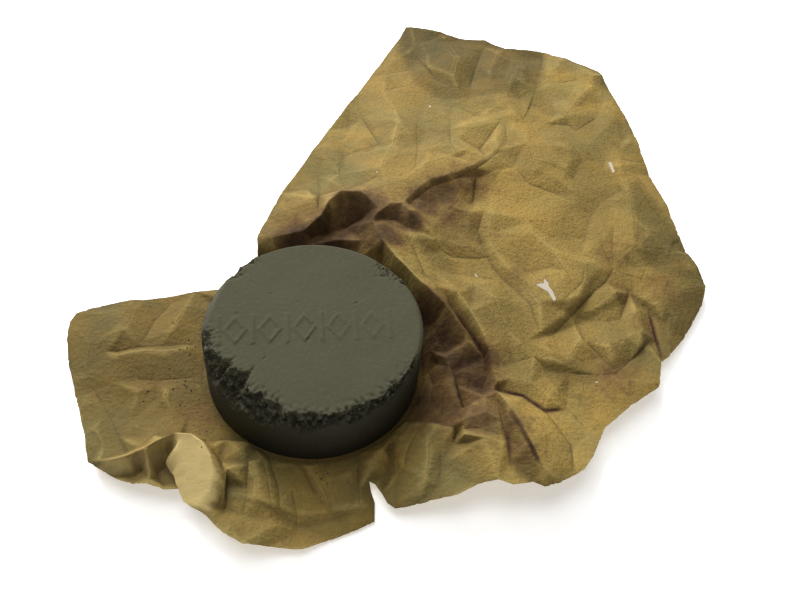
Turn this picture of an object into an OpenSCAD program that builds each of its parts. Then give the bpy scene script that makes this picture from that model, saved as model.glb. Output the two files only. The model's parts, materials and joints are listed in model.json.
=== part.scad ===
// A pressed cake of dry polish and cleaning compound on its opened paper wrapper.
// The origin is on the surface it lies on, under the middle of the cake. +Y points to the large flap.

/* [Cake] */
// Diameter of the cake
cake_d = 60; // [58:1:62]
// Height of the cake
cake_h = 20; // [16:1:24]
// Width of the worn slope round the cake's top edge
cake_worn_w = 1.2; // [0.4:0.1:2]

/* [Wrapper] */
// Thickness of the sheet
sheet_t = 0.4; // [0.3:0.1:0.8]
// Height of the wall that the sheet keeps round the back and right of the cake
wall_h = 11; // [6:1:14]
// Distance from the cake's axis to the top of that wall
wall_r = 44; // [42:1:48]

/* [Folds] */
// Distance from the cake's axis to the left flap's fold
left_fold_r = 38; // [37:0.5:40]
// Direction from the cake's axis to the left flap's fold, in degrees
left_fold_dir = 164; // [160:1:168]
// Distance from the cake's axis to the front flap's fold
front_fold_r = 37.5; // [37:0.5:40]
// Distance from the cake's axis to the back flap's fold
back_fold_r = 58; // [55:1:62]
// Direction from the cake's axis to the back flap's fold, in degrees
back_fold_dir = 45; // [42:1:48]
// Gap that each fold leaves between its two panels
fold_gap = 1.2; // [1:0.1:2]

/* [Hidden] */
$fn = 96;

CAKE_COLOR = [0.24, 0.24, 0.17];
PAPER_COLOR = [0.47, 0.39, 0.23];

flat_r = cake_d / 2 + 1.5;   // the sheet is flat on the table out to here
lift_w = 5.4;                // and rises to its full height over this width
wall_w = 6.5;                // spread of the wall's top
crease_w = 4;                // how far from a fold the sheet comes to the fold's own height
ring_steps = 9;              // rings in each panel, from its inner edge to its outer edge
turn_step = 4;               // degrees between the rays that the panels' points lie on

// Each fold is a straight level line: [direction, distance from the axis, height, one end, the other end],
// where the ends are measured along the fold.
LEFT_FOLD = [left_fold_dir, left_fold_r, 2, -15, 55];
FRONT_FOLD = [270, front_fold_r, 2, -32, 20];
BACK_FOLD = [back_fold_dir, back_fold_r, 10, -70, 72];
FOLDS = [LEFT_FOLD, FRONT_FOLD, BACK_FOLD];

// The sheet's edge, anticlockwise from the right.
EDGE = [
    [98, 1], [89, -7], [78, -23], [68, -34], [52, -36], [33, -42], [26, -43], [20, -37],
    [22, -46], [10, -53], [-3, -57], [-14, -56], [-21, -51], [-31, -38], [-36, -46], [-44, -46],
    [-52, -40], [-57, -29], [-67, -10], [-71, 4], [-64, 12], [-39, 20], [-30, 24], [-21, 30],
    [-21, 46], [-10, 82], [-1, 109], [14, 152], [45, 155], [69, 154], [89, 145], [96, 126],
    [104, 90], [113, 57], [118, 44], [116, 36], [103, 14]
];

// Swells of the loose sheet: [x, y, height, spread].
SWELLS = [
    [-8, 62, 7, 26],      // the standing edge behind the cake
    [14, 140, 9, 30],     // the far corner
    [60, 120, 5, 34],     // the middle of the far edge
    [55, 55, 7, 24],      // the middle of the large flap
    [60, -28, 9, 17],     // the right of the cake's front
    [96, 10, 2, 20],      // the low right edge
    [-31, -36, 10, 7],    // the corner that curls up beside the cake
    [-20, -47, 5, 8],     // the pleat next to it
    [-62, -10, 3, 18]     // the left flap
];

function ray(a) = [cos(a), sin(a)];
function cross2(u, v) = u[0] * v[1] - u[1] * v[0];
function smooth(t) = let (c = max(0, min(1, t))) c * c * (3 - 2 * c);
function bell(d) = exp(-d * d / 2);

// Distance along the ray at angle a to the segment from p to q, or 1000 where it misses.
function hit(a, p, q) =
    let (d = ray(a), e = q - p, k = cross2(d, e))
    abs(k) < 0.001 ? 1000 :
    let (s = cross2(p, d) / k, r = cross2(p, e) / k)
    (s >= -0.0001 && s <= 1.0001 && r > 0) ? r : 1000;

// Distances along the ray at angle a to the sheet's edge, and to a line that is moved out from a fold.
function edge_at(a) = min([for (i = [0 : len(EDGE) - 1]) hit(a, EDGE[i], EDGE[(i + 1) % len(EDGE)])]);
function fold_at(a, fold, out) =
    let (c = cos(a - fold[0]), r = (fold[1] + out) / max(c, 0.05), t = r * sin(a - fold[0]))
    (c > 0.05 && t > fold[3] - 25 && t < fold[4] + 25) ? r : 1000;

// Height of the sheet's underside: flat under the cake, then the wall round its back and right with the
// swells, brought to each fold's own height beside it.
function sum_of(v, i = 0) = i >= len(v) ? 0 : v[i] + sum_of(v, i + 1);
function wall_share(a) = smooth((130 - abs(a - 50)) / 45);
function turn_of(p) = let (a = atan2(p[1], p[0])) a < -130 ? a + 360 : a;
function loose_height(p) =
    wall_h * bell((norm(p) - wall_r) / wall_w) * wall_share(turn_of(p))
    + sum_of([for (s = SWELLS) s[2] * bell(norm([p[0] - s[0], p[1] - s[1]]) / s[3])]);
function crease_share(p, fold) =
    let (out = p * ray(fold[0]) - fold[1], along = p * ray(fold[0] + 90))
    bell(out / crease_w) * smooth((along - fold[3]) / 6 + 1) * smooth((fold[4] - along) / 6 + 1);
function creased(p, z, i = 0) =
    i >= len(FOLDS) ? z :
    let (w = crease_share(p, FOLDS[i]))
    creased(p, z * (1 - w) + FOLDS[i][2] * w, i + 1);
function height(p) = smooth((norm(p) - flat_r) / lift_w) * creased(p, loose_height(p));

// One ray of a panel's points, from the distance near to the distance far.
function spoke(a, near, far) =
    [for (k = [0 : ring_steps])
        let (p = ray(a) * (near + (far - near) * k / ring_steps)) [p[0], p[1], height(p)]];

// A thin closed panel through spokes of points. A round panel joins its last spoke to its first, and is
// closed by a flat disc inside its first ring.
module panel(spokes, round = false) {
    n = len(spokes);
    m = len(spokes[0]);
    lower = [for (s = spokes) for (p = s) p];
    upper = [for (p = lower) p + [0, 0, sheet_t]];
    last = round ? n - 1 : n - 2;
    function low(i, k) = (i % n) * m + k;
    function high(i, k) = n * m + low(i, k);
    skins = [for (i = [0 : last]) for (k = [0 : m - 2]) each [
        [low(i, k), low(i, k + 1), low(i + 1, k)],
        [low(i + 1, k), low(i, k + 1), low(i + 1, k + 1)],
        [high(i, k), high(i + 1, k), high(i, k + 1)],
        [high(i + 1, k), high(i + 1, k + 1), high(i, k + 1)]
    ]];
    outer_rim = [for (i = [0 : last]) each [
        [low(i, m - 1), high(i, m - 1), low(i + 1, m - 1)],
        [low(i + 1, m - 1), high(i, m - 1), high(i + 1, m - 1)]
    ]];
    inner_rim = [for (i = [0 : last]) each [
        [low(i, 0), low(i + 1, 0), high(i, 0)],
        [low(i + 1, 0), high(i + 1, 0), high(i, 0)]
    ]];
    disc = [[for (i = [0 : n - 1]) low(i, 0)], [for (i = [0 : n - 1]) high(n - 1 - i, 0)]];
    ends = [for (k = [0 : m - 2]) each [
        [low(0, k), high(0, k), low(0, k + 1)],
        [low(0, k + 1), high(0, k), high(0, k + 1)],
        [low(n - 1, k), low(n - 1, k + 1), high(n - 1, k)],
        [low(n - 1, k + 1), high(n - 1, k + 1), high(n - 1, k)]
    ]];
    closing = round ? disc : concat(inner_rim, ends);
    polyhedron(points = concat(lower, upper), faces = concat(skins, outer_rim, closing), convexity = 10);
}

// A flap from its fold to the sheet's edge, on the rays from angle a0 to a1.
module flap(a0, a1, fold) {
    steps = ceil((a1 - a0) / turn_step);
    color(PAPER_COLOR)
        panel([for (i = [0 : steps])
            let (a = a0 + (a1 - a0) * i / steps)
            spoke(a, fold_at(a, fold, fold_gap / 2), edge_at(a))]);
}

module cake() {
    color(CAKE_COLOR)
        translate([0, 0, sheet_t])
            rotate_extrude()
                polygon([
                    [0, 0], [cake_d / 2, 0], [cake_d / 2, cake_h - cake_worn_w],
                    [cake_d / 2 - cake_worn_w, cake_h], [0, cake_h]
                ]);
}

module wrapper_base() {
    color(PAPER_COLOR)
        panel([for (a = [0 : turn_step : 359])
            spoke(a, flat_r, min(edge_at(a), min([for (f = FOLDS) fold_at(a, f, -fold_gap / 2)])))],
            round = true);
}

module wrapper_left_flap() {
    flap(153, 215, LEFT_FOLD);
}

module wrapper_front_flap() {
    flap(233, 295, FRONT_FOLD);
}

module wrapper_back_flap() {
    flap(-3, 94, BACK_FOLD);
}

cake();
wrapper_base();
wrapper_left_flap();
wrapper_front_flap();
wrapper_back_flap();
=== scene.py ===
"""A pressed cake of dry shoe cleaning compound on its opened, crumpled paper wrapper.

The frame's wrapper nodes are plain panels. Here the wrapper is one crumpled sheet, cut into the same four
panels just inside their folds, and the cake gets its chipped rim and its worn relief.
Lengths in the tables are in millimetres. Meshes are made in metres.
"""
import json
import math
import random

import bpy
import numpy as np
from mathutils import Matrix, Vector, kdtree, noise
from mathutils.bvhtree import BVHTree
from mathutils.geometry import delaunay_2d_cdt


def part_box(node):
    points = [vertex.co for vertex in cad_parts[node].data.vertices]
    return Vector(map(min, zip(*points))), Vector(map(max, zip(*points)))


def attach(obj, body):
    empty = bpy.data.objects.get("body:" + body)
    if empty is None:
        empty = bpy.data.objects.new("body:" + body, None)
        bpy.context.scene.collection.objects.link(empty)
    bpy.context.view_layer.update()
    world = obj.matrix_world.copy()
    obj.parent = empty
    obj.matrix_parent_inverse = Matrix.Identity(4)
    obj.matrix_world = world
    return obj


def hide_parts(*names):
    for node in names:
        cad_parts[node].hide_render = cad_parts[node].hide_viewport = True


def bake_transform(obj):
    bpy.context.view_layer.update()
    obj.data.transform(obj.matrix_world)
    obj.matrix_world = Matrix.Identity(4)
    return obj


MM = 0.001
SEED = 7

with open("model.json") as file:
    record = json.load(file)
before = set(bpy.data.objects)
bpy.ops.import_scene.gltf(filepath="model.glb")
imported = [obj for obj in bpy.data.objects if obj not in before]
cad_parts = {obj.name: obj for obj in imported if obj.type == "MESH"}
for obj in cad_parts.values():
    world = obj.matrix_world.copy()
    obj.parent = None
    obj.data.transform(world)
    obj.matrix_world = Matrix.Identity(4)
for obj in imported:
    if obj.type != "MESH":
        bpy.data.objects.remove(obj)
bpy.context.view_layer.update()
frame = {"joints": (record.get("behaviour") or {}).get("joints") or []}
scene = bpy.context.scene
joints = {joint["name"]: joint for joint in frame["joints"]}


# ---------------------------------------------------------------- sizes that come from the frame

def box_mm(node):
    low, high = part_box(node)
    return np.array(low) / MM, np.array(high) / MM


cake_low, cake_high = box_mm("cake")
CAKE_R = (cake_high[0] - cake_low[0]) / 2
CAKE_FOOT = cake_low[2]
CAKE_TOP = cake_high[2]
CAKE_H = CAKE_TOP - CAKE_FOOT


def fold(joint_name, out):
    """A fold's distance from the cake's axis and the level direction that leads out across it."""
    place = np.array(joints[joint_name]["pos_m"][:2]) / MM
    direction = np.array(out, float) / np.linalg.norm(out)
    return place @ direction, direction


LEFT_FOLD = fold("left_fold", joints["left_fold"]["pos_m"][:2])
FRONT_FOLD = fold("front_fold", (0, -1))
BACK_FOLD = fold("back_fold", (1, 1))

# How far inside each fold the sheet is cut, and where the bend starts and ends across the fold.
SIDE_CUT, SIDE_BEND = 5.0, (-4.0, 4.0)
FRONT_CUT, FRONT_BEND = 4.5, (-1.5, 2.5)


# ---------------------------------------------------------------- the sheet's own layout

PAPER_T = 0.16        # thickness
STEP = 0.66           # distance between the fine mesh's points
FLAT_R = 31.0         # the sheet is flat under the cake out to here
INNER_R = 15          # a second ring of flat points lies here
FLAT_Z = 0.22         # height of the sheet's middle there
LOWEST_Z = 0.12       # lowest that its middle comes anywhere

# The inner ends of the slit beside the curled strip and of the notch in the front edge.
SLIT_END = (-31, -36)
NOTCH_END = (19.6, -35.8)

# The edge, anticlockwise from the low right corner: [x, y, height].
EDGE = [
    (98, 1, 5), (100, 11, 4), (103, 14, 3), (109, 23, 3), (116, 36, 3), (118, 44, 3), (113, 57, 4),
    (105, 88, 5), (100, 113, 5), (96, 126, 6), (89, 145, 8), (69, 154, 8), (53, 152, 9), (45, 155, 10),
    (14, 152, 14), (11, 142, 14), (0, 109, 12), (-3, 102, 12), (-10, 82, 12), (-15, 66, 13), (-18, 55, 14),
    (-20, 46, 14), (-22, 35, 14), (-21, 29, 11), (-30, 24, 2), (-39, 21, 2), (-52, 16, 2), (-64, 12, 2),
    (-70, 7, 3), (-71, 4, 3), (-70, -2, 3), (-67, -10, 3), (-62, -20, 3), (-57, -29, 4), (-52, -40, 5),
    (-50, -41, 5), (-42.6, -44.4, 6), (-39, -45, 6), (-31, -45.6, 6), (-27, -45, 6), (-28.4, -42, 4),
    (-30.6, -38, 4), (-31, -36, 9), (-30, -38, 8.6), (-26.4, -42.4, 8), (-22.4, -48.4, 7), (-20, -51, 7),
    (-17, -54, 7), (-14, -56, 7), (-9, -58, 6), (-3, -57, 4), (5, -56, 3), (10, -53, 2), (16, -50, 1.5),
    (22, -46, 1), (21.6, -41, 1), (20.3, -38, 1.4), (19.6, -35.8, 3), (21.2, -37, 4), (23.2, -39.3, 3.4),
    (25, -42, 3), (27, -43, 3), (33, -42, 5), (42, -40, 8), (47, -37, 9), (52, -36, 11), (56, -37, 11),
    (61, -35, 10), (64, -36, 10), (68, -34, 10), (75, -29, 9), (78, -23, 8), (82, -14, 7), (89, -7, 6),
]

# Torn holes: [centre, outline round it].
HOLES = [
    ((66, 31), [(-3.4, 0.2), (-1.4, -1.3), (0.2, -2.4), (0.7, -3.6), (1.8, -5.8), (2.6, -5.2), (1.8, -2.4),
                (0.6, -0.2), (0.5, 1.5), (-0.7, 3.2), (-0.8, 1.2), (-2.0, 1.0)]),
    ((90, 90), [(-0.8, 2.6), (-0.7, 0.4), (-0.3, -1.0), (0.3, -3.0), (1.1, -2.4), (0.5, -0.6), (0.4, 1.6),
                (0.1, 2.8)]),
    ((26, 107), [(-0.6, 0.8), (-0.2, -0.9), (0.4, -0.5), (0.2, 0.6)]),
    ((44.5, 32.5), [(-0.5, 1.2), (-0.1, -0.2), (0.6, -1.1), (0.4, 0.4)]),
    ((11, 66), [(-0.4, 0.3), (0.1, -0.4), (0.4, 0.3)]),
    ((80, 0), [(-0.5, 0.3), (0.1, -0.4), (0.5, 0.3)]),
]

# Creases and ridges, each a line of [x, y, height].
BACK_WALL = [
    [(-21, 33, 13), (-14, 37, 14), (-8, 39, 15), (-4, 43, 17), (-2, 49, 19), (1, 53, 19.6), (7, 54, 19.8),
     (10, 51, 19.8), (13, 47, 19.6), (12, 42, 19), (16, 34, 19), (20, 29, 18), (25, 24.6, 17), (31, 20, 16),
     (36, 15, 15.5), (40, 11, 13.5), (43, 7, 11)],
    [(-20, 29, 7), (-12, 33, 8), (-6, 36, 11), (2, 38, 13), (9, 38, 14)],
    [(-6, 39, 11), (-1, 42, 11), (4, 45, 11.5), (8, 48, 13)],
    [(-5, 46, 16), (-6, 55, 14), (-8, 66, 13)],
    [(2, 57, 16), (-1, 66, 15), (-3, 80, 13)],
    [(14, 46, 19.6), (17, 50, 19.8), (20, 51, 19.4), (23, 48, 19)],
    [(15, 45, 17), (19, 46, 16), (22, 44, 15.5)],
    [(22, 40, 17), (26, 34, 15), (29, 27, 14.5), (33, 24, 13.5)],
]
NEST_RIGHT = [
    [(36, 21, 12), (38, 18, 10), (42, 13, 9), (45, 9, 8.4), (48, 4, 8), (49, -2, 7), (48, -6, 6)],
    [(39, 22, 14), (43, 16, 13), (46, 11, 12.4), (49, 4, 12), (50.4, -2, 11), (51.4, -6, 11)],
    [(33, 14, 8), (35, 8, 8), (37, 5, 7)],
    [(33, 6, 5), (37, 2, 8.5), (39, -3, 9.5), (40.5, -8, 9), (42, -14, 8.4)],
    [(34.6, 3, 3.4), (38.8, -1.6, 7.6), (41.2, -6, 6), (43.4, -13, 5.6)],
    [(33, 1, 1.2), (34.4, -4, 2.6), (34, -10, 3), (32, -15, 2.4)],
    [(37, -8, 6.4), (37, -14, 5.6), (36, -17, 4.6)],
]
FRONT_RIGHT = [
    [(27, -17.6, 3.4), (31, -18.4, 6.2), (36, -20, 8.6), (40, -21, 9.6)],
    [(29, -15, 1.6), (33, -16, 3.6), (37, -17.6, 5.4)],
    [(38.6, -20, 7.6), (41.4, -21.4, 7), (40.6, -25, 7.6)],
    [(42, -16, 9), (44, -14, 10), (48, -11, 10.4), (50, -8, 10)],
    [(43, -19, 11.4), (48, -17, 12), (52, -18, 11.6)],
    [(42.6, -21.6, 10), (47, -21.4, 10.8), (53, -23, 11)],
    [(43, -24, 11.6), (48, -25, 12.4), (53, -26, 12)],
    [(51.4, -9, 11), (54.4, -15, 13.4), (57, -21, 14.4), (59.6, -26, 14), (63, -31.6, 12)],
    [(52, -12, 9.8), (53.4, -19, 10.4), (54.6, -25, 10.6), (55.4, -30, 10.4), (55.6, -34, 10.6)],
    [(37, -26, 7.4), (37.6, -31, 6.4), (37.6, -37, 6.4)],
    [(34, -24, 7.8), (34.4, -30, 7.6), (34, -36, 7)],
    [(31, -21, 6.4), (29, -26, 5.6), (28, -32, 5)],
    [(24, -25, 1.4), (25, -29, 1.6), (24.4, -33, 1.6)],
    [(27.4, -19.4, 4.6), (25.6, -22.6, 4.4), (26.4, -27, 4.4), (26.8, -33, 4)],
    [(24.4, -22.6, 3.4), (22, -27, 5), (20, -31, 5), (19, -34, 4.6)],
    [(66, -13, 8), (72, -22, 7.4), (72, -29, 8.4)],
    [(71, -9, 7), (77, -16, 7)],
]
FRONT = [
    [(1, -32, 0.6), (4, -37, 0.8), (7, -41.4, 1.4)],
    [(3.4, -33, 1.6), (7, -37.6, 2.2), (10, -42, 2.2)],
    [(0, -40, 2), (2, -46, 1.6), (3, -51, 2.2)],
    [(-9, -33, 3.6), (-6.4, -39, 4.2), (-5, -44, 4.4), (-3, -51, 4.6)],
    [(-6.4, -34, 2.2), (-3.6, -40, 2.6), (-2, -46, 3)],
    [(-15, -32, 6), (-11.6, -36, 6), (-9, -40, 5.4), (-8, -46, 5.4)],
    [(-12, -35, 4.4), (-11, -42, 4.2), (-10.4, -50, 5)],
    [(16, -30, 1.8), (17, -38, 2.6), (18, -44, 2.4)],
    [(-24, -31.4, 6.4), (-19, -29.6, 5.2), (-14, -28.6, 3.8), (-11.6, -29.2, 2)],
    [(-22, -34, 8.6), (-18.6, -36.6, 6.4), (-16, -42, 5.2), (-15, -49, 5.4)],
]
CURLED_CORNER = [
    [(-49, -40, 6.4), (-45, -40.4, 9), (-41, -40, 11.4), (-36, -37.4, 13), (-34, -36, 13.6),
     (-30, -34, 14.4), (-26, -34, 14.6), (-23, -35.4, 14), (-20, -39, 12.8), (-18.6, -43, 11),
     (-18.4, -46.4, 9.2)],
    [(-48, -42.2, 4.8), (-43.6, -43.2, 5), (-40, -42.8, 5), (-38, -41, 5.6)],
    [(-36.6, -38.4, 12.6), (-35.8, -40.6, 10.6), (-35, -42.4, 8.8), (-35.2, -43.8, 7.4)],
    [(-34, -40.6, 4.6), (-32.4, -38.8, 4.6)],
    [(-33.4, -42.2, 4.2), (-30.4, -42.6, 4.2), (-32, -43.8, 4.8)],
    [(-28, -36.4, 13), (-25.6, -40, 11.4), (-23, -44, 9.8), (-21, -47.4, 8.4)],
    [(-30, -31, 8), (-25, -30, 6.4)],
    [(-31, -27, 2), (-27, -28.4, 2), (-22, -28, 1.6)],
    [(-16.4, -40, 8.8), (-15.8, -45, 8), (-16.8, -50, 6.6)],
]
LEFT = [
    [(-58, -5, 4), (-55, -4, 3), (-49, -1.4, 3), (-44, -0.4, 3.2), (-38, 2, 2), (-34, 2.6, 1.2)],
    [(-54, -6, 4.6), (-48, -3.4, 4.4), (-42, -2.6, 4.2), (-36, 0.4, 2.8)],
    [(-49, 1, 3), (-48, 9, 1.8), (-45, 16, 1.6)],
    [(-55, 3, 4.4), (-54, 11, 3)],
    [(-42, 6, 3.6), (-40, 15, 2.8)],
    [(-47, -12, 2.8), (-40, -11, 2.4), (-33, -9, 1.6)],
    [(-46, -16, 4), (-39, -15, 3.4)],
    [(-42, -13, 2.6), (-41, -18, 2.4)],
    [(-58, -17, 3.2), (-52, -24, 3), (-47, -31, 3.6), (-44, -36, 4.6)],
    [(-54, -30, 4.6), (-50, -35, 5.2)],
    [(-36, -22, 3), (-38, -30, 5), (-40, -35, 7.4)],
    [(-31, -22, 1.6), (-32, -29, 3.6)],
    [(-63, -3, 4), (-61, -13, 4.2)],
]
STEP_FOLD = [
    [(21, 54, 18.2), (23.6, 58, 18), (28, 63, 17.8), (36, 68, 17.2), (42, 74, 16.2), (46, 80, 15.2),
     (50, 87, 14.2)],
    [(22.4, 53.2, 17), (24.8, 57, 16.6), (29, 61.8, 16.4), (36.7, 66.9, 16), (42.7, 73.3, 15.2),
     (47, 79.5, 14.6), (50.8, 86.6, 13.9)],
    [(19, 62, 18.4), (26, 70, 18), (33, 75, 17.4), (40, 82, 16)],
]
LARGE_FLAP_LEFT = [
    [(33, 100, 13.4), (34, 84, 15.4), (37, 77, 16.2)],
    [(31, 103, 13), (34, 109, 11.6), (39, 113, 12)],
    [(22, 95, 13.4), (23, 80, 15.6), (23, 68, 17)],
    [(14, 72, 17.4), (20, 75, 17), (27, 76, 17.4)],
    [(3, 97, 11), (10, 83, 12), (-1, 77, 12.4)],
    [(16, 92, 16), (15, 80, 16.4), (12, 68, 17.6)],
    [(9, 110, 14), (18, 117, 13), (24, 128, 14)],
    [(13, 144, 13), (20, 134, 11.6), (27, 122, 12)],
    [(30, 148, 12), (34, 136, 14), (33, 124, 14.4)],
    [(45, 151, 9.4), (42, 137, 9.6), (40, 122, 10.6)],
    [(50, 146, 11.6), (47, 132, 12)],
]
LARGE_FLAP_MIDDLE = [
    [(31, 41, 15.4), (33, 38.4, 13.6), (37, 37.4, 12.4), (45, 39.4, 10.4), (48, 41, 9.4), (50, 37, 9),
     (53, 33, 8.8), (58, 28, 8.6), (61, 24, 8.6), (64, 14, 8.4)],
    [(34, 41.6, 14.4), (40, 41.4, 13.6), (44, 42.8, 12.4)],
    [(54.6, 36, 11.4), (60, 31, 11), (64, 24, 10.4)],
    [(46, 58, 12.4), (44.6, 50, 10.6), (46.4, 45, 10)],
    [(49, 57, 13.6), (48.4, 49, 12.6), (50, 43, 11.8)],
    [(43, 72, 12.6), (42.4, 60, 12.4)],
    [(45, 32, 10.4), (52, 32.6, 9.4)],
    [(44, 27, 13), (50, 22, 12.6), (54, 12, 12)],
    [(44, 86, 13), (51, 103, 11.4)],
    [(64, 126, 9), (59, 106, 10.6)],
    [(68, 151, 8), (66, 137, 8.4)],
    [(57, 79, 12.4), (61, 74, 11.4), (71, 72, 9.6)],
    [(53, 101, 11.6), (53, 92, 12.2)],
    [(60, 92, 13.6), (63, 80, 13.6), (72, 77, 12)],
    [(68, 92, 12), (74, 96, 11)],
    [(52, -7.6, 8.6), (59, -8.4, 8.4), (65, -12, 7.8), (71, -10, 7)],
    [(55, -4, 11), (61, -4.6, 10.6), (66, -8, 9.8)],
    [(56, -12, 12.4), (62, -15, 11), (66, -20, 10.4)],
    [(56, 2, 9.4), (62, 5, 10.4), (66, 2, 8)],
    [(67, 46, 12), (72, 37, 11), (76, 28, 10)],
    [(60, 56, 12.6), (68, 58, 12)],
]
LARGE_FLAP_RIGHT = [
    [(75, 149, 9.4), (86, 140, 9.4)],
    [(86, 134, 9), (80, 124, 9.6), (75, 114, 10.4)],
    [(72, 132, 8), (80, 137, 7.4)],
    [(68, 108, 9.8), (76, 110, 8.2)],
    [(76, 99, 9.2), (80, 91, 8.2)],
    [(79, 108, 7.6), (87, 117, 7)],
    [(77, 69, 9), (82, 66, 8), (86, 66, 8.4)],
    [(89, 62, 8), (88, 54, 7.2), (88, 44, 5.6)],
    [(92, 90, 9.4), (96, 76, 9), (96, 66, 8.8), (95, 55, 8.4)],
    [(88, 44, 5.6), (84, 54, 8)],
    [(88, 44, 5.6), (97, 42, 5), (99, 48, 5)],
    [(88, 44, 5.6), (85, 38, 6.6), (81, 33, 7), (74, 23, 7.6), (68, 15, 7.6)],
    [(77, 47, 8.4), (83, 46, 8)],
    [(78, 42, 10.4), (77, 34, 10), (71, 26, 10)],
    [(97, 54, 8), (106, 55, 6.6), (113, 55, 5)],
    [(93, 95, 6.8), (102, 97, 5)],
    [(93, 37, 5), (89, 25, 5.6), (84, 23, 6.4)],
    [(88, 34, 9), (83, 28, 9)],
    [(94, 29, 7.4), (95, 21, 7)],
    [(71, 4, 9), (76, 14, 9.4)],
    [(77, 14, 7.4), (82, 9, 5.6), (85, 5.4, 5)],
    [(72, 2, 7.2), (81, 2.4, 6.2), (86, 4, 4.6), (91, 10, 3.6), (97, 18, 3)],
    [(84, 12, 8), (90, 17, 6.6)],
    [(87, 1, 6.4), (97, 2.4, 5.6)],
    [(99, 31, 3.4), (100, 20, 3), (100.6, 12, 2.6)],
    [(101, 32.6, 6.4), (104, 37, 6), (117, 43, 4)],
    [(106, 30, 4.8), (104, 22, 4.4)],
    [(108, 66, 5.8), (103, 74, 7), (99, 84, 7.4)],
]
STANDING_FOLDS = BACK_WALL + NEST_RIGHT + FRONT_RIGHT + FRONT + CURLED_CORNER + LEFT + STEP_FOLD
SOFT_CREASES = LARGE_FLAP_LEFT + LARGE_FLAP_MIDDLE + LARGE_FLAP_RIGHT
SOFT_SHARE = 0.75     # how far a soft crease keeps away from the level round it
CREASE_W = 0.28       # half width of the pressed line along a crease
CREASE_DEPTH = 0.14   # depth of that line

# Heights of the plain paper beside the step fold: [x, y, height].
LEVELS = [
    (24, 64, 18.2), (31, 69.5, 17.6), (37, 76, 16.8), (42, 83, 15.4), (30, 56, 15.2), (35, 61, 14.9),
    (42, 67, 14.6), (48, 75, 13.8), (34, 50, 13.6), (41, 55, 13.2), (49, 65, 12.8), (55, 80, 12.6),
    (42, 46, 12.2),
]

# Random crumples over the whole sheet: [size of a facet, height of its corners].
CRUMPLES = [(20.0, 1.25), (9.5, 0.46), (4.0, 0.07)]
CALM = [(-27, -41, 9), (62, -24, 10)]    # where the sheet is smooth: [x, y, spread]

# How light the paper is, from 0 to 1: [x, y, spread, amount] added to an even tone. Partly the paper's own
# tone, partly painted light and shade where the sheet faces towards or away from the light.
EVEN_TONE = 0.42
TONES_AND_PAINTED_SHADE = [
    (62, 62, 42, 0.46), (69, -24, 13, 0.74), (2, 95, 22, 0.30), (104, 30, 16, -0.06), (84, 124, 9, 0.2),
    (-44, 0, 26, -0.20), (-27, -8, 12, -0.16), (47, -18, 7, -0.62), (-8, -46, 8, 0.1), (12, -42, 8, 0.16),
    (-39, -43.5, 5, 0.35), (24, 84, 12, -0.22), (-48, -14, 12, -0.12), (-1, 70, 12, -0.10),
]
# Planes between folds painted lighter or darker than what is round them: painted light and shade on facets
# that face towards or away from the light, partly also the paper's own tone: [amount, outline].
PAINTED_FACET_SHADES = [
    (-0.38, [(12, 152), (45, 156), (68, 156), (68, 137), (57, 124), (42, 115), (30, 112), (20, 118),
             (13, 136)]),
    (0.30, [(69, 153), (88, 143), (94, 127), (77, 114), (66, 125)]),
    (-0.25, [(74, 120), (88, 133), (84, 119)]),
    (-0.34, [(99, 90), (108, 69), (119, 52), (118, 44), (102, 46), (96, 51), (97, 81)]),
    (-0.40, [(101, 31), (113, 42), (119, 43), (110, 23), (101, 12)]),
    (-0.14, [(76, 94), (86, 103), (90, 79), (86, 48), (80, 53), (75, 83)]),
    (-0.16, [(25, 43), (41, 30), (52, 14), (46, 7), (33, 20)]),
    (-0.30, [(66, 7), (80, 6), (91, 10), (98, 20), (92, 2), (80, 0), (67, -3)]),
    (-0.62, [(53, -12), (56.6, -20), (63.4, -32), (61, -37), (56, -33), (54, -22)]),
    (0.26, [(19, 41), (25, 40), (37, 22), (34, 17), (23, 28)]),
    (0.20, [(33, 84), (36, 110), (52, 122), (58, 104), (50, 90)]),
    (-0.16, [(52, 104), (60, 92), (63, 80), (57, 78), (50, 90)]),
]
# Where its surface is rubbed and speckled: [x, y, spread, strength].
WORN = [(62, 62, 30, 1.0), (-42, -14, 14, 0.9), (68, 8, 16, 0.8), (10, 118, 16, 0.5)]
# Where the paper is painted dark: compound soaked in near the cake, and painted shade in the pocket behind
# the cake, under the curled strip and on fold faces turned from the light: [x, y, spread, strength].
STAINS_AND_SHADE = [
    (-10, 36, 6, 1.0), (0, 38, 8, 1.0), (8, 46, 8, 1.0), (16, 38, 5, 0.9), (31, 15, 5, 1.0),
    (35, 8, 6, 1.0), (40, 0, 6, 1.0), (45, 2, 4, 1.0), (47, -6, 4.4, 1.0), (27, 55, 5, 0.8),
    (33, 61, 5, 0.8), (42, 69, 5, 0.6), (19, 46, 5, 0.8), (36, 52, 7, 0.5), (39, 67, 5, 0.6),
    (46.5, 2, 4.4, 1.0), (46, -5, 5, 1.0), (47, -17, 6, 0.6), (35, -10, 7, 0.8), (41, -16, 5, 0.7),
    (14, -33, 5, 0.3), (-27, -20, 5, 0.35), (33, -17, 4, 0.5), (9, 4, 13, 0.55), (-12, -6, 9, 0.45),
    (24, 46, 3, 1.0), (56, 34, 3, 0.4), (85, 3, 5, 0.5), (97, 24, 4, 0.4), (-38.6, -40.4, 1.8, 0.6),
    (-32.4, -39.4, 1.8, 0.9), (88, 50, 5, 0.35), (104, 40, 5, 0.45), (90, 36, 4, 0.4), (56, -20, 3.4, 0.6),
    (58.6, -28, 3, 0.5),
]
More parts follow.
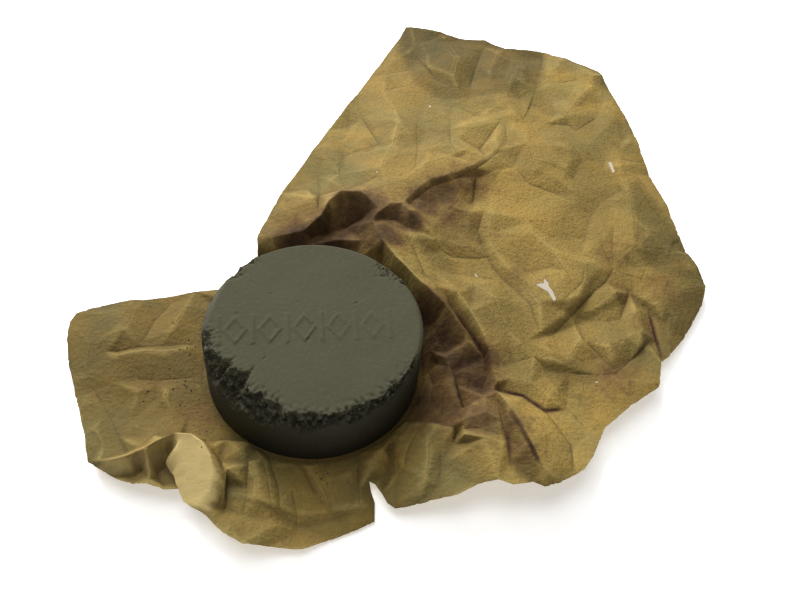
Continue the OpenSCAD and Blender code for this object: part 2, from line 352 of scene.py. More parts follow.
# Creases painted dark along their length, partly compound caught in the fold and partly painted shade in it,
# each a line of [x, y].
DARK_CREASES_AND_SHADE = [
    [(38, 18), (42, 13), (45, 9), (48, 4), (49, -2)],
    [(34, 5.4), (37, 2), (39, -3), (40.5, -8), (42, -14)],
    [(54.4, -15), (57, -21), (59.6, -26), (63, -31.6)],
    [(53.4, -19), (54.6, -25), (55.4, -30)],
    [(52, -7.6), (59, -8.4), (65, -12), (71, -10)],
    [(99, 31), (100, 20), (100.6, 12)],
]
DARK_W = 0.8          # half width of the dark line along them


# ---------------------------------------------------------------- small tools

def smooth(t):
    t = np.clip(t, 0, 1)
    return t * t * (3 - 2 * t)


def inside(points, loop):
    """Which of the points lie inside the closed loop."""
    loop = np.asarray(loop, float)
    x, y = points[:, 0], points[:, 1]
    hit = np.zeros(len(points), bool)
    for (ax, ay), (bx, by) in zip(loop, np.roll(loop, -1, axis=0)):
        crosses = (ay > y) != (by > y)
        with np.errstate(divide="ignore", invalid="ignore"):
            at = (bx - ax) * (y - ay) / (by - ay) + ax
        hit ^= crosses & (x < at)
    return hit


def along(line, step):
    """Points at about the given step along a line, its last point left out."""
    found = []
    for a, b in zip(line[:-1], line[1:]):
        a, b = np.array(a, float), np.array(b, float)
        count = max(1, round(np.linalg.norm(b[:2] - a[:2]) / step))
        found += [tuple(a + (b - a) * i / count) for i in range(count)]
    return found


def triangulate(points, edges):
    """Corner coordinates and triangles of a flat mesh through the points that keeps the edges."""
    corners, _, faces, origins, _, _ = delaunay_2d_cdt([Vector(p[:2]) for p in points], edges, [], 0, 1e-5)
    return np.array([tuple(c) for c in corners]), np.array([f for f in faces if len(f) == 3]), origins


def point_tree(points):
    """A tree that finds the nearest of the points in plan."""
    tree = kdtree.KDTree(len(points))
    for i, point in enumerate(points):
        tree.insert((point[0], point[1], 0), i)
    tree.balance()
    return tree


def only_used(faces, count):
    """The corners that the faces use, and the faces numbered on those corners alone."""
    used = np.unique(faces)
    number = np.zeros(count, int)
    number[used] = np.arange(len(used))
    return used, number[faces]


def mean_level(heights, distances, softness):
    """The mean of the heights, in which the nearer ones count more."""
    weights = [1 / (d * d + softness) for d in distances]
    return sum(z * w for z, w in zip(heights, weights)) / sum(weights)


HIGH_ABOVE = 200      # a height above every point of the sheet


class Relief:
    """A surface of flat facets through points of [x, y, height]."""

    def __init__(self, points, edges=()):
        corners, faces, origins = triangulate(points, list(edges))
        heights = [points[ids[0]][2] if ids else None for ids in origins]
        known = [(c, z) for c, z in zip(corners, heights) if z is not None]
        near = point_tree([corner for corner, _ in known])
        for i, z in enumerate(heights):
            if z is None:
                found = near.find_n((corners[i][0], corners[i][1], 0), 3)
                heights[i] = sum(known[k][1] for _, k, _ in found) / len(found)
        flat = [Vector((c[0], c[1], z)) for c, z in zip(corners, heights)]
        self.tree = BVHTree.FromPolygons(flat, [tuple(int(k) for k in f) for f in faces])

    def at(self, points):
        down = Vector((0, 0, -1))
        found = []
        for x, y in points:
            hit = self.tree.ray_cast(Vector((x, y, HIGH_ABOVE)), down)[0]
            found.append(hit.z if hit else 0.0)
        return np.array(found)


ROW_GAP = 0.866       # distance between the rows of a triangle pattern whose points are 1 apart


def scatter(low, high, cell, rng, jitter=0.42):
    """Points in a jittered triangle pattern over a rectangle."""
    found = []
    rows = int((high[1] - low[1]) / (cell * ROW_GAP)) + 1
    columns = int((high[0] - low[0]) / cell) + 1
    for j in range(rows):
        for i in range(columns):
            x = low[0] + (i + 0.5 * (j % 2)) * cell + rng.uniform(-jitter, jitter) * cell
            y = low[1] + j * cell * ROW_GAP + rng.uniform(-jitter, jitter) * cell
            found.append((x, y))
    return found


# ---------------------------------------------------------------- the sheet's heights

SHEET_LOW, SHEET_HIGH = (-90, -76), (137, 175)      # corners of the rectangle that the scattered points fill
EDGE_GROW = 9                   # the edge's heights carry on this far outside the sheet
FILLING_STEP = 8.5              # distance between the points of the loose filling
FILLING_GAP = 4                 # the filling keeps this far from every other point
FILLING_LOOSE = 0.7             # how far it lies above or below the level round it
NO_FILLING = ((-27, -42), 12)   # the curled corner has none: centre and radius


def settle(points, line_of, shares):
    """Draws the points of each soft line towards the level of the other points round them."""
    placed = point_tree(points)
    drawn = {}
    for i, number in enumerate(line_of):
        if number is None or shares[number] == 1:
            continue
        x, y, z = points[i]
        others = [(k, d) for _, k, d in placed.find_n((x, y, 0), 16) if line_of[k] != number][:6]
        level = mean_level([points[k][2] for k, _ in others], [d for _, d in others], 9)
        drawn[i] = (x, y, level + (z - level) * shares[number])
    for i, point in drawn.items():
        points[i] = point


def grown_edge():
    """The edge's points carried outside the sheet, and apart from them those that would land back on it.

    Those grow out of the slit and the notch. They give no height, and only keep the filling away.
    """
    outside, strays = [], []
    for x, y, z in EDGE:
        grown = 1 + EDGE_GROW / math.hypot(x, y)
        in_slit = min(math.dist((x, y), SLIT_END), math.dist((x, y), NOTCH_END)) < EDGE_GROW
        (strays if in_slit else outside).append((x * grown, y * grown, z))
    return outside, strays


def loose_filling(known, rng):
    """Points in the gaps between the known ones, at about the level round them."""
    placed = point_tree(known)
    centre, radius = NO_FILLING
    filling = []
    for x, y in scatter(SHEET_LOW, SHEET_HIGH, FILLING_STEP, rng):
        nearest = placed.find_n((x, y, 0), 5)
        crowded = nearest[0][2] < FILLING_GAP
        if crowded or math.hypot(x, y) < FLAT_R + 1 or math.dist((x, y), centre) < radius:
            continue
        level = mean_level([known[k][2] for _, k, _ in nearest], [d for _, _, d in nearest], 6)
        filling.append((x, y, level + rng.uniform(-FILLING_LOOSE, FILLING_LOOSE)))
    return filling


def coarse_relief(rng):
    """The sheet's large folds: its edge, its creases and a loose filling between them."""
    outside, strays = grown_edge()
    points, edges = EDGE + outside, []
    lines = [(line, 1.0) for line in STANDING_FOLDS] + [(line, SOFT_SHARE) for line in SOFT_CREASES]
    line_of = [None] * len(points)
    for number, (line, _) in enumerate(lines):
        start = len(points)
        points += line
        line_of += [number] * len(line)
        edges += [(start + i, start + i + 1) for i in range(len(line) - 1)]
    settle(points, line_of, [share for _, share in lines])
    points += LEVELS
    for turn in range(0, 360, 15):
        a = math.radians(turn)
        points += [(r * math.cos(a), r * math.sin(a), FLAT_Z) for r in (FLAT_R, INNER_R)]
    return Relief(points + loose_filling(points + strays, rng), edges)


def crumple_relief(cell, depth, rng):
    """Random facets of one size."""
    spots = scatter(SHEET_LOW, SHEET_HIGH, cell, rng, 0.5)
    return Relief([(x, y, rng.uniform(-depth, depth)) for x, y in spots])


# ---------------------------------------------------------------- the fine sheet

EDGE_WEAR = 0.55      # size of the nicks and waves along the edge


def worn_edge(line):
    """The line in short steps, with the small tears and nicks of a worn edge."""
    worn = []
    for x, y in along(line + [line[0]], STEP):
        close = min(math.dist((x, y), SLIT_END), math.dist((x, y), NOTCH_END))
        loose = EDGE_WEAR * min(1.0, max(0.0, (close - 3) / 6))
        wave = noise.noise((x * 0.16, y * 0.16, 3.0)) * 1.1 + noise.noise((x * 0.6, y * 0.6, 9.0)) * 0.5
        bite = max(0.0, noise.noise((x * 1.1, y * 1.1, 21.0)) - 0.18) * 1.6
        away = np.array((x, y)) / max(1.0, math.hypot(x, y))
        worn.append(tuple(np.array((x, y)) + away * loose * (wave * 0.5 - bite)))
    return worn


def cut_line(distance, direction, low, high):
    """Two points on the straight line across a fold's direction, in the order low to high along it."""
    side = np.array((-direction[1], direction[0]))
    return [tuple(direction * distance + side * low), tuple(direction * distance + side * high)]


LEFT_CUT_AT = LEFT_FOLD[0] - SIDE_CUT
BACK_CUT_AT = BACK_FOLD[0] - SIDE_CUT
FRONT_CUT_Y = -(FRONT_FOLD[0] - FRONT_CUT)
FRONT_REGION = [
    (SLIT_END[0], FRONT_CUT_Y), SLIT_END, (-30.3, -38), (-27.4, -42.2), (-24.4, -47.6), (-24, -70), (24, -70),
    (23, -43), (21.2, -39), NOTCH_END, (NOTCH_END[0], FRONT_CUT_Y),
]


def pressed_line(line):
    """A crease's middle and its two sides, each as a chain of points."""
    middle = np.array(along([p[:2] for p in line], STEP) + [line[-1][:2]])
    ahead = np.gradient(middle, axis=0)
    side = np.column_stack([-ahead[:, 1], ahead[:, 0]])
    side /= np.linalg.norm(side, axis=1, keepdims=True)
    taper = np.minimum(np.arange(len(middle)), np.arange(len(middle))[::-1])
    width = CREASE_W * np.clip((taper[:, None] + 1) / 3, 0, 1)
    return [[tuple(p) for p in middle + side * width * k] for k in (0, 1, -1)]


def crease_distance(points, lines):
    """Each point's distance to the nearest line, and how far it is from that line's nearer end."""
    step = 0.2
    spots = []
    for line in lines:
        steps = along([p[:2] for p in line], step) + [line[-1][:2]]
        reach = step * np.minimum(np.arange(len(steps)), np.arange(len(steps))[::-1])
        spots += [(x, y, r) for (x, y), r in zip(steps, reach)]
    tree = point_tree(spots)
    found = [tree.find((x, y, 0)) for x, y in points]
    return np.array([f[2] for f in found]), np.array([spots[f[1]][2] for f in found])


class Chains:
    """Points, and the edges that join them in chains."""

    def __init__(self):
        self.points, self.edges = [], []

    def add(self, chain, closed=False):
        start = len(self.points)
        self.points.extend(chain)
        self.edges.extend((start + i, start + i + 1) for i in range(len(chain) - 1))
        if closed:
            self.edges.append((start + len(chain) - 1, start))

    def add_within(self, chain, outline):
        """Adds the part of an open chain that lies inside the outline."""
        kept = inside(np.array(chain), outline)
        self.add([tuple(p) for p, ok in zip(chain, kept) if ok])


def panel_cuts():
    """The lines that cut the sheet into its panels."""
    return [
        cut_line(LEFT_CUT_AT, LEFT_FOLD[1], -30, 72),
        cut_line(BACK_CUT_AT, BACK_FOLD[1], -90, 95),
        [(SLIT_END[0], FRONT_CUT_Y), (NOTCH_END[0], FRONT_CUT_Y)],
        [(SLIT_END[0], FRONT_CUT_Y), SLIT_END],
        [(NOTCH_END[0], FRONT_CUT_Y), NOTCH_END],
    ]


TURN_UP_W = 6                               # the sheet turns up over this width outside its flat middle
TURN_UP_LOW, TURN_UP_HIGH = (-40, -10), (45, 60)    # corners of the rectangle in which it does


def turning_up(points):
    spread = np.hypot(points[:, 0], points[:, 1])
    return (spread > FLAT_R) & (spread < FLAT_R + TURN_UP_W)


def scattered_points(outline, rng):
    """Points all over the sheet, closer together where it turns up beside the cake."""
    even = np.array(scatter(SHEET_LOW, SHEET_HIGH, STEP, rng, 0.16))
    even = even[inside(even, outline)]
    close = np.array(scatter(TURN_UP_LOW, TURN_UP_HIGH, STEP * 0.55, rng, 0.2))
    close = close[turning_up(close) & inside(close, outline)]
    beside = (even[:, 0] > TURN_UP_LOW[0]) & (even[:, 1] > TURN_UP_LOW[1]) & turning_up(even)
    return np.concatenate([even[~beside], close])


def fine_mesh(rng):
    """The flat sheet as a fine mesh: its corners and its triangles."""
    outline = worn_edge([p[:2] for p in EDGE])
    holes = [along([(cx + x, cy + y) for x, y in loop + loop[:1]], 0.45) for (cx, cy), loop in HOLES]
    chains = Chains()
    for loop in [outline] + holes:
        chains.add(loop, closed=True)
    for cut in panel_cuts():
        chains.add_within(along(cut, STEP) + [cut[1]], outline)
    for line in STANDING_FOLDS + SOFT_CREASES:
        for chain in pressed_line(line):
            chains.add_within(chain, outline)
    taken = point_tree(chains.points)
    spots = [tuple(p) for p in scattered_points(outline, rng)]
    points = chains.points + [(x, y) for x, y in spots if taken.find((x, y, 0))[2] > STEP * 0.5]
    corners, faces, _ = triangulate(points, chains.edges)
    middle = corners[faces].mean(axis=1)
    keep = inside(middle, outline)
    for hole in holes:
        keep &= ~inside(middle, hole)
    return corners, faces[keep]


def neighbour_mean(values, faces, count, rounds, share):
    """The values after some rounds of moving towards the mean of their neighbours."""
    pairs = np.concatenate([faces[:, [0, 1]], faces[:, [1, 2]], faces[:, [2, 0]]])
    both = np.concatenate([pairs, pairs[:, ::-1]])
    degree = np.maximum(np.bincount(both[:, 0], minlength=count), 1)
    values = values.copy()
    for _ in range(rounds):
        total = np.bincount(both[:, 0], weights=values[both[:, 1]], minlength=count)
        values = values * (1 - share) + total / degree * share
    return values


def fall_off(points, centre, spread):
    return np.exp(-((points[:, 0] - centre[0]) ** 2 + (points[:, 1] - centre[1]) ** 2) / (2 * spread ** 2))


STRIP_REGION = [
    (-31, -36), (-30, -34.2), (-26, -34), (-23, -35.2), (-20, -39), (-17.8, -43), (-17.2, -47),
    (-18.4, -51), (-22.5, -48.6), (-26.6, -42.4), (-30.2, -38),
]
HOLLOW_REGION = [
    (-49, -40.6), (-41, -40.4), (-36, -38), (-31, -36.4), (-30.6, -38), (-28.4, -42), (-26.6, -46.6),
    (-31, -48.4), (-39, -48.4), (-42, -47.4), (-50, -41.4),
]
HOLLOW_PAINTED_LIGHT = 0.30      # how much lighter the hollow beside the strip is painted, as painted light on its shaded wall
STRIP_FOOT = (-22.4, -48.4)     # where the strip's free side ends, at the sheet's edge
STRIP_LEAN = 2.9                # how far that side leans out
STRIP_W = 3.6                   # how far across the strip the lean reaches


def strip_lean(flat):
    """How far the curled strip's free side leans out over the hollow beside it."""
    start, end = np.array(SLIT_END, float), np.array(STRIP_FOOT)
    line = (end - start) / np.linalg.norm(end - start)
    side = (flat - start) @ np.array((-line[1], line[0]))
    reach = (flat - start) @ line
    lean = STRIP_LEAN * np.exp(-(side / STRIP_W) ** 2) * smooth(reach / 4.0) * smooth((21 - reach) / 6)
    lean *= inside(flat, FRONT_REGION)
    return np.column_stack([-lean, -0.12 * lean])


def flat_sheet(rng):
    """The flat sheet's corners and triangles, all turned the same way up."""
    flat, faces = fine_mesh(rng)
    used, faces = only_used(faces, len(flat))
    flat = flat[used]
    a, b, c = (flat[faces[:, i]] for i in range(3))
    turned = (b[:, 0] - a[:, 0]) * (c[:, 1] - a[:, 1]) - (b[:, 1] - a[:, 1]) * (c[:, 0] - a[:, 0]) < 0
    faces[turned] = faces[turned][:, ::-1]
    return flat, faces


def sheet_height(flat, rng):
    """The sheet's height at each corner, and how much a crease presses it in there."""
    broad = coarse_relief(rng).at(flat)
    detail = sum(crumple_relief(cell, depth, rng).at(flat) for cell, depth in CRUMPLES)
    calm = np.ones(len(flat))
    for x, y, wide in CALM:
        calm *= 1 - 0.85 * fall_off(flat, (x, y), wide)
    spread = np.hypot(flat[:, 0], flat[:, 1])
    loose = smooth((spread - FLAT_R) / 2.5)
    height = FLAT_Z + (np.maximum(broad, LOWEST_Z) - FLAT_Z) * smooth((spread - FLAT_R + 0.6) / 1.6)
    height += detail * calm * loose * (0.35 + 0.65 * smooth(height / 3))
    from_crease, from_end = crease_distance(flat, STANDING_FOLDS + SOFT_CREASES)
    pressed = np.clip(1 - from_crease / CREASE_W, 0, 1) * smooth(from_end / 2.5) * loose
    height -= pressed * CREASE_DEPTH
    return np.maximum(height, LOWEST_Z), pressed


def sheet_looks(flat, faces, height, pressed):
    """What varies over the sheet, each as a number at every corner."""
    def spread_out(values, rounds):
        return neighbour_mean(values, faces, len(flat), rounds, 0.5)

    # crest: ridges are painted lighter as painted highlights, hollows darker as painted shade
    narrow, wide = height - spread_out(height, 14), height - spread_out(height, 120)
    crest_light_and_shade = np.clip(narrow / 0.22, -1, 1) * 0.7 + np.clip(wide / 1.4, -1, 1) * 0.3
    # tone: the paper's own tone together with painted light and shade
    tone_and_shade = np.full(len(flat), EVEN_TONE)
    for x, y, reach, amount in TONES_AND_PAINTED_SHADE:
        tone_and_shade += amount * fall_off(flat, (x, y), reach)
    for amount, outline in PAINTED_FACET_SHADES:
        tone_and_shade += amount * spread_out(inside(flat, outline) * 1.0, 6)
    # stain: real compound stains, and painted shade in deep creases, hollows and shaded pockets
    stain_and_shade = np.zeros(len(flat))
    for x, y, reach, strength in STAINS_AND_SHADE:
        stain_and_shade = np.maximum(stain_and_shade, strength * fall_off(flat, (x, y), reach))
    from_dark, from_end = crease_distance(flat, DARK_CREASES_AND_SHADE)
    stain_and_shade = np.maximum(stain_and_shade, np.exp(-(from_dark / DARK_W) ** 2) * (0.4 + 0.6 * smooth(from_end / 4)))
    # pale: the curled strip's clean underside, and painted light on the hollow beside it
    pale_and_lit = spread_out(inside(flat, STRIP_REGION) + HOLLOW_PAINTED_LIGHT * inside(flat, HOLLOW_REGION), 2)
    worn = sum(strength * fall_off(flat, (x, y), reach) for x, y, reach, strength in WORN)
    looks = {"crest_light_and_shade": crest_light_and_shade, "stain_and_shade": stain_and_shade, "worn": worn, "tone_and_shade": tone_and_shade, "pale_and_lit": pale_and_lit, "pressed": pressed}
    return {key: np.clip(values, -1, 1) for key, values in looks.items()}


def make_sheet():
    """The whole crumpled sheet: flat corners, places, triangles and the looks that vary over it."""
    rng = random.Random(SEED)
    flat, faces = flat_sheet(rng)
    height, pressed = sheet_height(flat, rng)
    place = np.column_stack([flat, height])
    place[:, :2] += strip_lean(flat)
    return flat, place, faces, sheet_looks(flat, faces, height, pressed)


def corner_normals(place, faces):
    a, b, c = (place[faces[:, i]] for i in range(3))
    face_normals = np.cross(b - a, c - a)
    normals = np.zeros_like(place)
    for i in range(3):
        np.add.at(normals, faces[:, i], face_normals)
    return normals / np.maximum(np.linalg.norm(normals, axis=1, keepdims=True), 1e-9)


def regions(flat, faces):
    """The panel that each triangle belongs to."""
    middle = flat[faces].mean(axis=1)
    out_left = middle @ LEFT_FOLD[1]
    side = middle @ np.array((-LEFT_FOLD[1][1], LEFT_FOLD[1][0]))
    found = np.full(len(faces), "base", dtype=object)
    found[(out_left > LEFT_CUT_AT) & (side > -32)] = "left_flap"
    found[middle @ BACK_FOLD[1] > BACK_CUT_AT] = "back_flap"
    found[inside(middle, FRONT_REGION)] = "front_flap"
    return found


def placed_piece(name, mesh):
    piece = bpy.data.objects.new(name, mesh)
    scene.collection.objects.link(piece)
    return piece


SHEET_SPAN = 300.0      # length that the sheet's own map covers, so that a pattern keeps its scale
SHEET_START = (-80, -70)    # where that map starts


def panel(name, flat, place, faces, normals, looks):
    """One closed panel of the sheet, with its thickness, its map and its attributes."""
    used, faces = only_used(faces, len(flat))
    n = len(used)
    upper = place[used] + normals[used] * PAPER_T / 2
    lower = place[used] - normals[used] * PAPER_T / 2
    pairs = np.concatenate([faces[:, [0, 1]], faces[:, [1, 2]], faces[:, [2, 0]]])
    sides = {(int(i), int(j)) for i, j in pairs}
    rim = [(i, j) for i, j in sorted(sides) if (j, i) not in sides]
    skins = [tuple(map(int, f)) for f in faces] + [tuple(int(k) + n for k in f[::-1]) for f in faces]
    walls = [(j, i, i + n, j + n) for i, j in rim]
    mesh = bpy.data.meshes.new(name)
    mesh.from_pydata([tuple(p) for p in np.concatenate([upper, lower]) * MM], [], skins + walls)
    mesh.polygons.foreach_set("use_smooth", [True] * len(mesh.polygons))
    corner_of = np.zeros(len(mesh.loops), np.int32)
    mesh.loops.foreach_get("vertex_index", corner_of)
    chart = mesh.uv_layers.new(name="sheet")
    spot = (flat[used] - SHEET_START) / SHEET_SPAN
    chart.data.foreach_set("uv", spot[corner_of % n].astype(np.float32).ravel())
    varied = {key: np.tile(values[used], 2) for key, values in looks.items()}
    varied["below"] = np.repeat([0.0, 1.0], n)
    for key, values in varied.items():
        mesh.attributes.new(key, "FLOAT", "POINT").data.foreach_set("value", values.astype(np.float32))
    shade = np.concatenate([normals[used], -normals[used]])[corner_of]
    for k, wall in enumerate(list(mesh.polygons)[len(skins):]):
        first = len(skins) * 3 + k * 4
        shade[first:first + 4] = np.array(wall.normal)
    mesh.normals_split_custom_set([tuple(v) for v in shade])
    return placed_piece(name, mesh)


# ---------------------------------------------------------------- materials

class Tree:
    """Short ways to add nodes to a tree and to join them."""

    def __init__(self, tree):
        self.tree = tree

    def add(self, kind, **values):
        node = self.tree.nodes.new(kind)
        for key, value in values.items():
            setattr(node, key, value)
        return node

    def join(self, source, target):
        self.tree.links.new(source, target)


class Nodes(Tree):
    """Short ways to build one material."""

    def __init__(self, name, roughness, specular=0.5):
        self.material = bpy.data.materials.new(name)
        self.material.use_nodes = True
        super().__init__(self.material.node_tree)
        self.shader = self.tree.nodes["Principled BSDF"]
        self.shader.inputs["Roughness"].default_value = roughness
        self.shader.inputs["Specular IOR Level"].default_value = specular

    def noise(self, vector, scale, detail=4.0, roughness=0.55):
        node = self.add("ShaderNodeTexNoise")
        node.inputs["Scale"].default_value = scale
        node.inputs["Detail"].default_value = detail
        node.inputs["Roughness"].default_value = roughness
        self.join(vector, node.inputs["Vector"])
        return node.outputs["Fac"]

    def between(self, value, low, high, to_low=0.0, to_high=1.0):
        node = self.add("ShaderNodeMapRange")
        for key, number in zip(("From Min", "From Max", "To Min", "To Max"), (low, high, to_low, to_high)):
            node.inputs[key].default_value = number
        self.join(value, node.inputs["Value"])
        return node.outputs["Result"]

    def sum(self, a, b, how="ADD"):
        node = self.add("ShaderNodeMath", operation=how)
        for value, socket in ((a, node.inputs[0]), (b, node.inputs[1])):
            if isinstance(value, (int, float)):
                socket.default_value = value
            else:
                self.join(value, socket)
        return node.outputs[0]

    def mix(self, share, a, b, how="MIX"):
        node = self.add("ShaderNodeMix", data_type="RGBA", blend_type=how)
        if isinstance(share, (int, float)):
            node.inputs["Factor"].default_value = share
        else:
            self.join(share, node.inputs["Factor"])
        for value, socket in ((a, node.inputs["A"]), (b, node.inputs["B"])):
            if isinstance(value, tuple):
                socket.default_value = (*value, 1.0)
            else:
                self.join(value, socket)
        return node.outputs["Result"]

    def grey(self, value):
        """The number as an even grey."""
        node = self.add("ShaderNodeCombineColor")
        for socket in node.inputs[:3]:
            self.join(value, socket)
        return node.outputs[0]

    def attribute(self, name):
        return self.add("ShaderNodeAttribute", attribute_name=name).outputs["Fac"]

    def bump(self, height, distance, strength=1.0, under=None):
        node = self.add("ShaderNodeBump")
        node.inputs["Distance"].default_value = distance
        node.inputs["Strength"].default_value = strength
        self.join(height, node.inputs["Height"])
        if under is not None:
            self.join(under, node.inputs["Normal"])
        return node.outputs["Normal"]


# The ridge colour is a painted highlight. The stain colour serves for real stains and for painted shade, and
# the dark colour for blotches, speckle, crease lines and painted shade in hollows. The clean colour serves
# for the clean underside and for painted light in the hollow beside the strip.
PAPER_OLIVE = (0.150, 0.117, 0.036)
PAPER_OCHRE = (0.258, 0.167, 0.040)
PAPER_GREY = (0.178, 0.146, 0.050)
PAPER_RIDGE_HIGHLIGHT = (0.400, 0.295, 0.095)
PAPER_DARK = (0.070, 0.048, 0.017)
PAPER_BROWN = (0.105, 0.055, 0.020)
PAPER_STAIN_AND_SHADE = (0.030, 0.0145, 0.006)
PAPER_CLEAN_AND_LIT = (0.520, 0.400, 0.165)


def paper_material():
    """Waxed paper: mottled, speckled where it is worn, dark in its creases and where it is stained; with
    painted highlights on its ridges, painted shade in its hollows, deep folds and shaded pockets, and painted
    light and shade on its facets and in the hollow beside the strip.
    """
    m = Nodes("waxed_paper", roughness=0.78, specular=0.13)
    chart = m.add("ShaderNodeUVMap", uv_map="sheet").outputs["UV"]
    crest_light_and_shade, stain_and_shade, worn = m.attribute("crest_light_and_shade"), m.attribute("stain_and_shade"), m.attribute("worn")
    broad = m.noise(chart, 12, 5, 0.6)
    patches = m.noise(chart, 38, 6, 0.62)
    blotches = m.noise(chart, 95, 5, 0.62)
    grain = m.noise(chart, 560, 3, 0.7)
    fibres = m.noise(chart, 260, 4, 0.7)
    colour = m.mix(m.between(broad, 0.38, 0.62), PAPER_OLIVE, PAPER_OCHRE)
    colour = m.mix(m.between(patches, 0.50, 0.68, 0, 0.6), colour, PAPER_GREY)
    colour = m.mix(m.sum(worn, 0.55, "MULTIPLY"), colour, PAPER_OCHRE)
    # The tone scales the colour: partly the paper's own tone, partly painted light and shade.
    shade = m.between(m.attribute("tone_and_shade"), 0.0, 1.0, 0.42, 1.12)
    shade = m.sum(shade, m.between(fibres, 0.25, 0.75, 0.86, 1.12), "MULTIPLY")
    colour = m.mix(1.0, colour, m.grey(shade), "MULTIPLY")
    colour = m.mix(m.between(blotches, 0.57, 0.70, 0, 0.38), colour, PAPER_DARK)
    speckle = m.sum(m.between(grain, 0.52, 0.64), m.between(worn, 0, 1, 0.26, 0.74), "MULTIPLY")
    colour = m.mix(speckle, colour, PAPER_DARK)
    # Painted highlights on the ridges, painted shade in the hollows.
    colour = m.mix(m.between(crest_light_and_shade, 0.2, 1.0, 0, 0.30), colour, PAPER_RIDGE_HIGHLIGHT)
    colour = m.mix(m.between(crest_light_and_shade, -0.15, -1.0, 0, 0.5), colour, PAPER_DARK)
    line = m.sum(m.attribute("pressed"), m.between(blotches, 0.35, 0.55, 0.2, 0.6), "MULTIPLY")
    colour = m.mix(line, colour, PAPER_DARK)
    # Stains and painted shade, darkened to brown and then to near black.
    soaked_and_shaded = m.sum(stain_and_shade, m.between(blotches, 0.35, 0.65, -0.14, 0.14))
    colour = m.mix(m.between(soaked_and_shaded, 0.12, 0.55, 0, 0.72), colour, PAPER_BROWN)
    colour = m.mix(m.between(soaked_and_shaded, 0.42, 1.0, 0, 0.95), colour, PAPER_STAIN_AND_SHADE)
    # The strip's underside and the sheet's lower face get their clean colour; the hollow beside the strip is
    # painted lighter, as painted light.
    clean_and_lit = m.sum(m.attribute("pale_and_lit"), m.attribute("below"), "MAXIMUM")
    colour = m.mix(m.sum(clean_and_lit, m.between(blotches, 0.4, 0.7, 0.95, 0.75), "MULTIPLY"), colour, PAPER_CLEAN_AND_LIT)
    m.join(colour, m.shader.inputs["Base Color"])
    crisp = m.between(m.attribute("pale_and_lit"), 0, 1, 1, 0.15)
    bump = m.bump(m.sum(m.noise(chart, 150, 6, 0.66), crisp, "MULTIPLY"), 0.00028, 0.7)
    wrinkles = m.between(m.noise(chart, 240, 1, 0.4), 0.47, 0.53)
    bump = m.bump(m.sum(wrinkles, crisp, "MULTIPLY"), 0.00006, under=bump)
    bump = m.bump(grain, 0.00009, under=bump)
    m.join(bump, m.shader.inputs["Normal"])
    return m.material


# The side colour is painted shade. The pit colour is painted shade in dents and hollows. The dust colour
# serves for real dust flecks and for painted highlights on raised lumps.
CAKE_FACE = (0.050, 0.048, 0.0255)
CAKE_SIDE_SHADE = (0.036, 0.033, 0.019)
CAKE_BROKEN = (0.040, 0.037, 0.020)
CAKE_DUST_AND_HIGHLIGHT = (0.120, 0.112, 0.060)
CAKE_PIT_SHADE = (0.012, 0.010, 0.006)


def cake_material():
    """Dry pressed compound: smooth on its faces, coarse and dark where it is broken; its side painted darker
    as painted shade, painted shade in its dents and pits, and painted highlights on its raised lumps.
    """
    m = Nodes("compound", roughness=0.85, specular=0.18)
    place = m.add("ShaderNodeTexCoord").outputs["Object"]
    broken, side, hollow = m.attribute("broken"), m.attribute("side"), m.attribute("hollow")
    clouds = m.noise(place, 60, 5, 0.6)
    grain = m.noise(place, 1500, 3, 0.7)
    lumps = m.noise(place, 420, 4, 0.65)
    # The side is painted darker than the top, as painted shade on it.
    colour = m.mix(side, CAKE_FACE, CAKE_SIDE_SHADE)
    colour = m.mix(m.between(clouds, 0.35, 0.7, 0, 0.35), colour, CAKE_SIDE_SHADE)
    colour = m.mix(broken, colour, CAKE_BROKEN)
    # Painted shade in the hollows between the broken surface's lumps.
    colour = m.mix(m.sum(broken, m.between(lumps, 0.44, 0.60, 0.85, 0), "MULTIPLY"), colour, CAKE_PIT_SHADE)
    flecks = m.between(m.noise(place, 900, 2, 0.6), 0.57, 0.67)
    colour = m.mix(m.sum(flecks, m.between(broken, 0, 1, 0.10, 0.65), "MULTIPLY"), colour, CAKE_DUST_AND_HIGHLIGHT)
    # Painted shade in the dents and pits, painted highlights on the raised lumps.
    colour = m.mix(m.between(hollow, -0.1, -0.9, 0, 0.7), colour, CAKE_PIT_SHADE)
    colour = m.mix(m.between(hollow, 0.1, 0.9, 0, 0.4), colour, CAKE_DUST_AND_HIGHLIGHT)
    m.join(colour, m.shader.inputs["Base Color"])
    bump = m.bump(lumps, 0.00010)
    bump = m.bump(m.sum(lumps, broken, "MULTIPLY"), 0.0009, under=bump)
    bump = m.bump(grain, 0.00008, under=bump)
    m.join(bump, m.shader.inputs["Normal"])
    return m.material


FLOOR_GLOW = 0.40      # the table is a pale lit panel


def floor_material():
    m = Nodes("pale_floor", roughness=0.7)
    place = m.add("ShaderNodeTexCoord").outputs["Object"]
    m.join(m.mix(m.noise(place, 4), (0.86, 0.86, 0.86), (0.88, 0.88, 0.88)), m.shader.inputs["Base Color"])
    m.shader.inputs["Emission Color"].default_value = (1, 1, 1, 1)
    m.shader.inputs["Emission Strength"].default_value = FLOOR_GLOW
    return m.material


# ---------------------------------------------------------------- the cake

TURN_POINTS = 700
TOP_RINGS = 64
SIDE_RINGS = 46
FOOT_RINGS = 10
WORN_W = 1.1            # width of the worn slope round the top edge

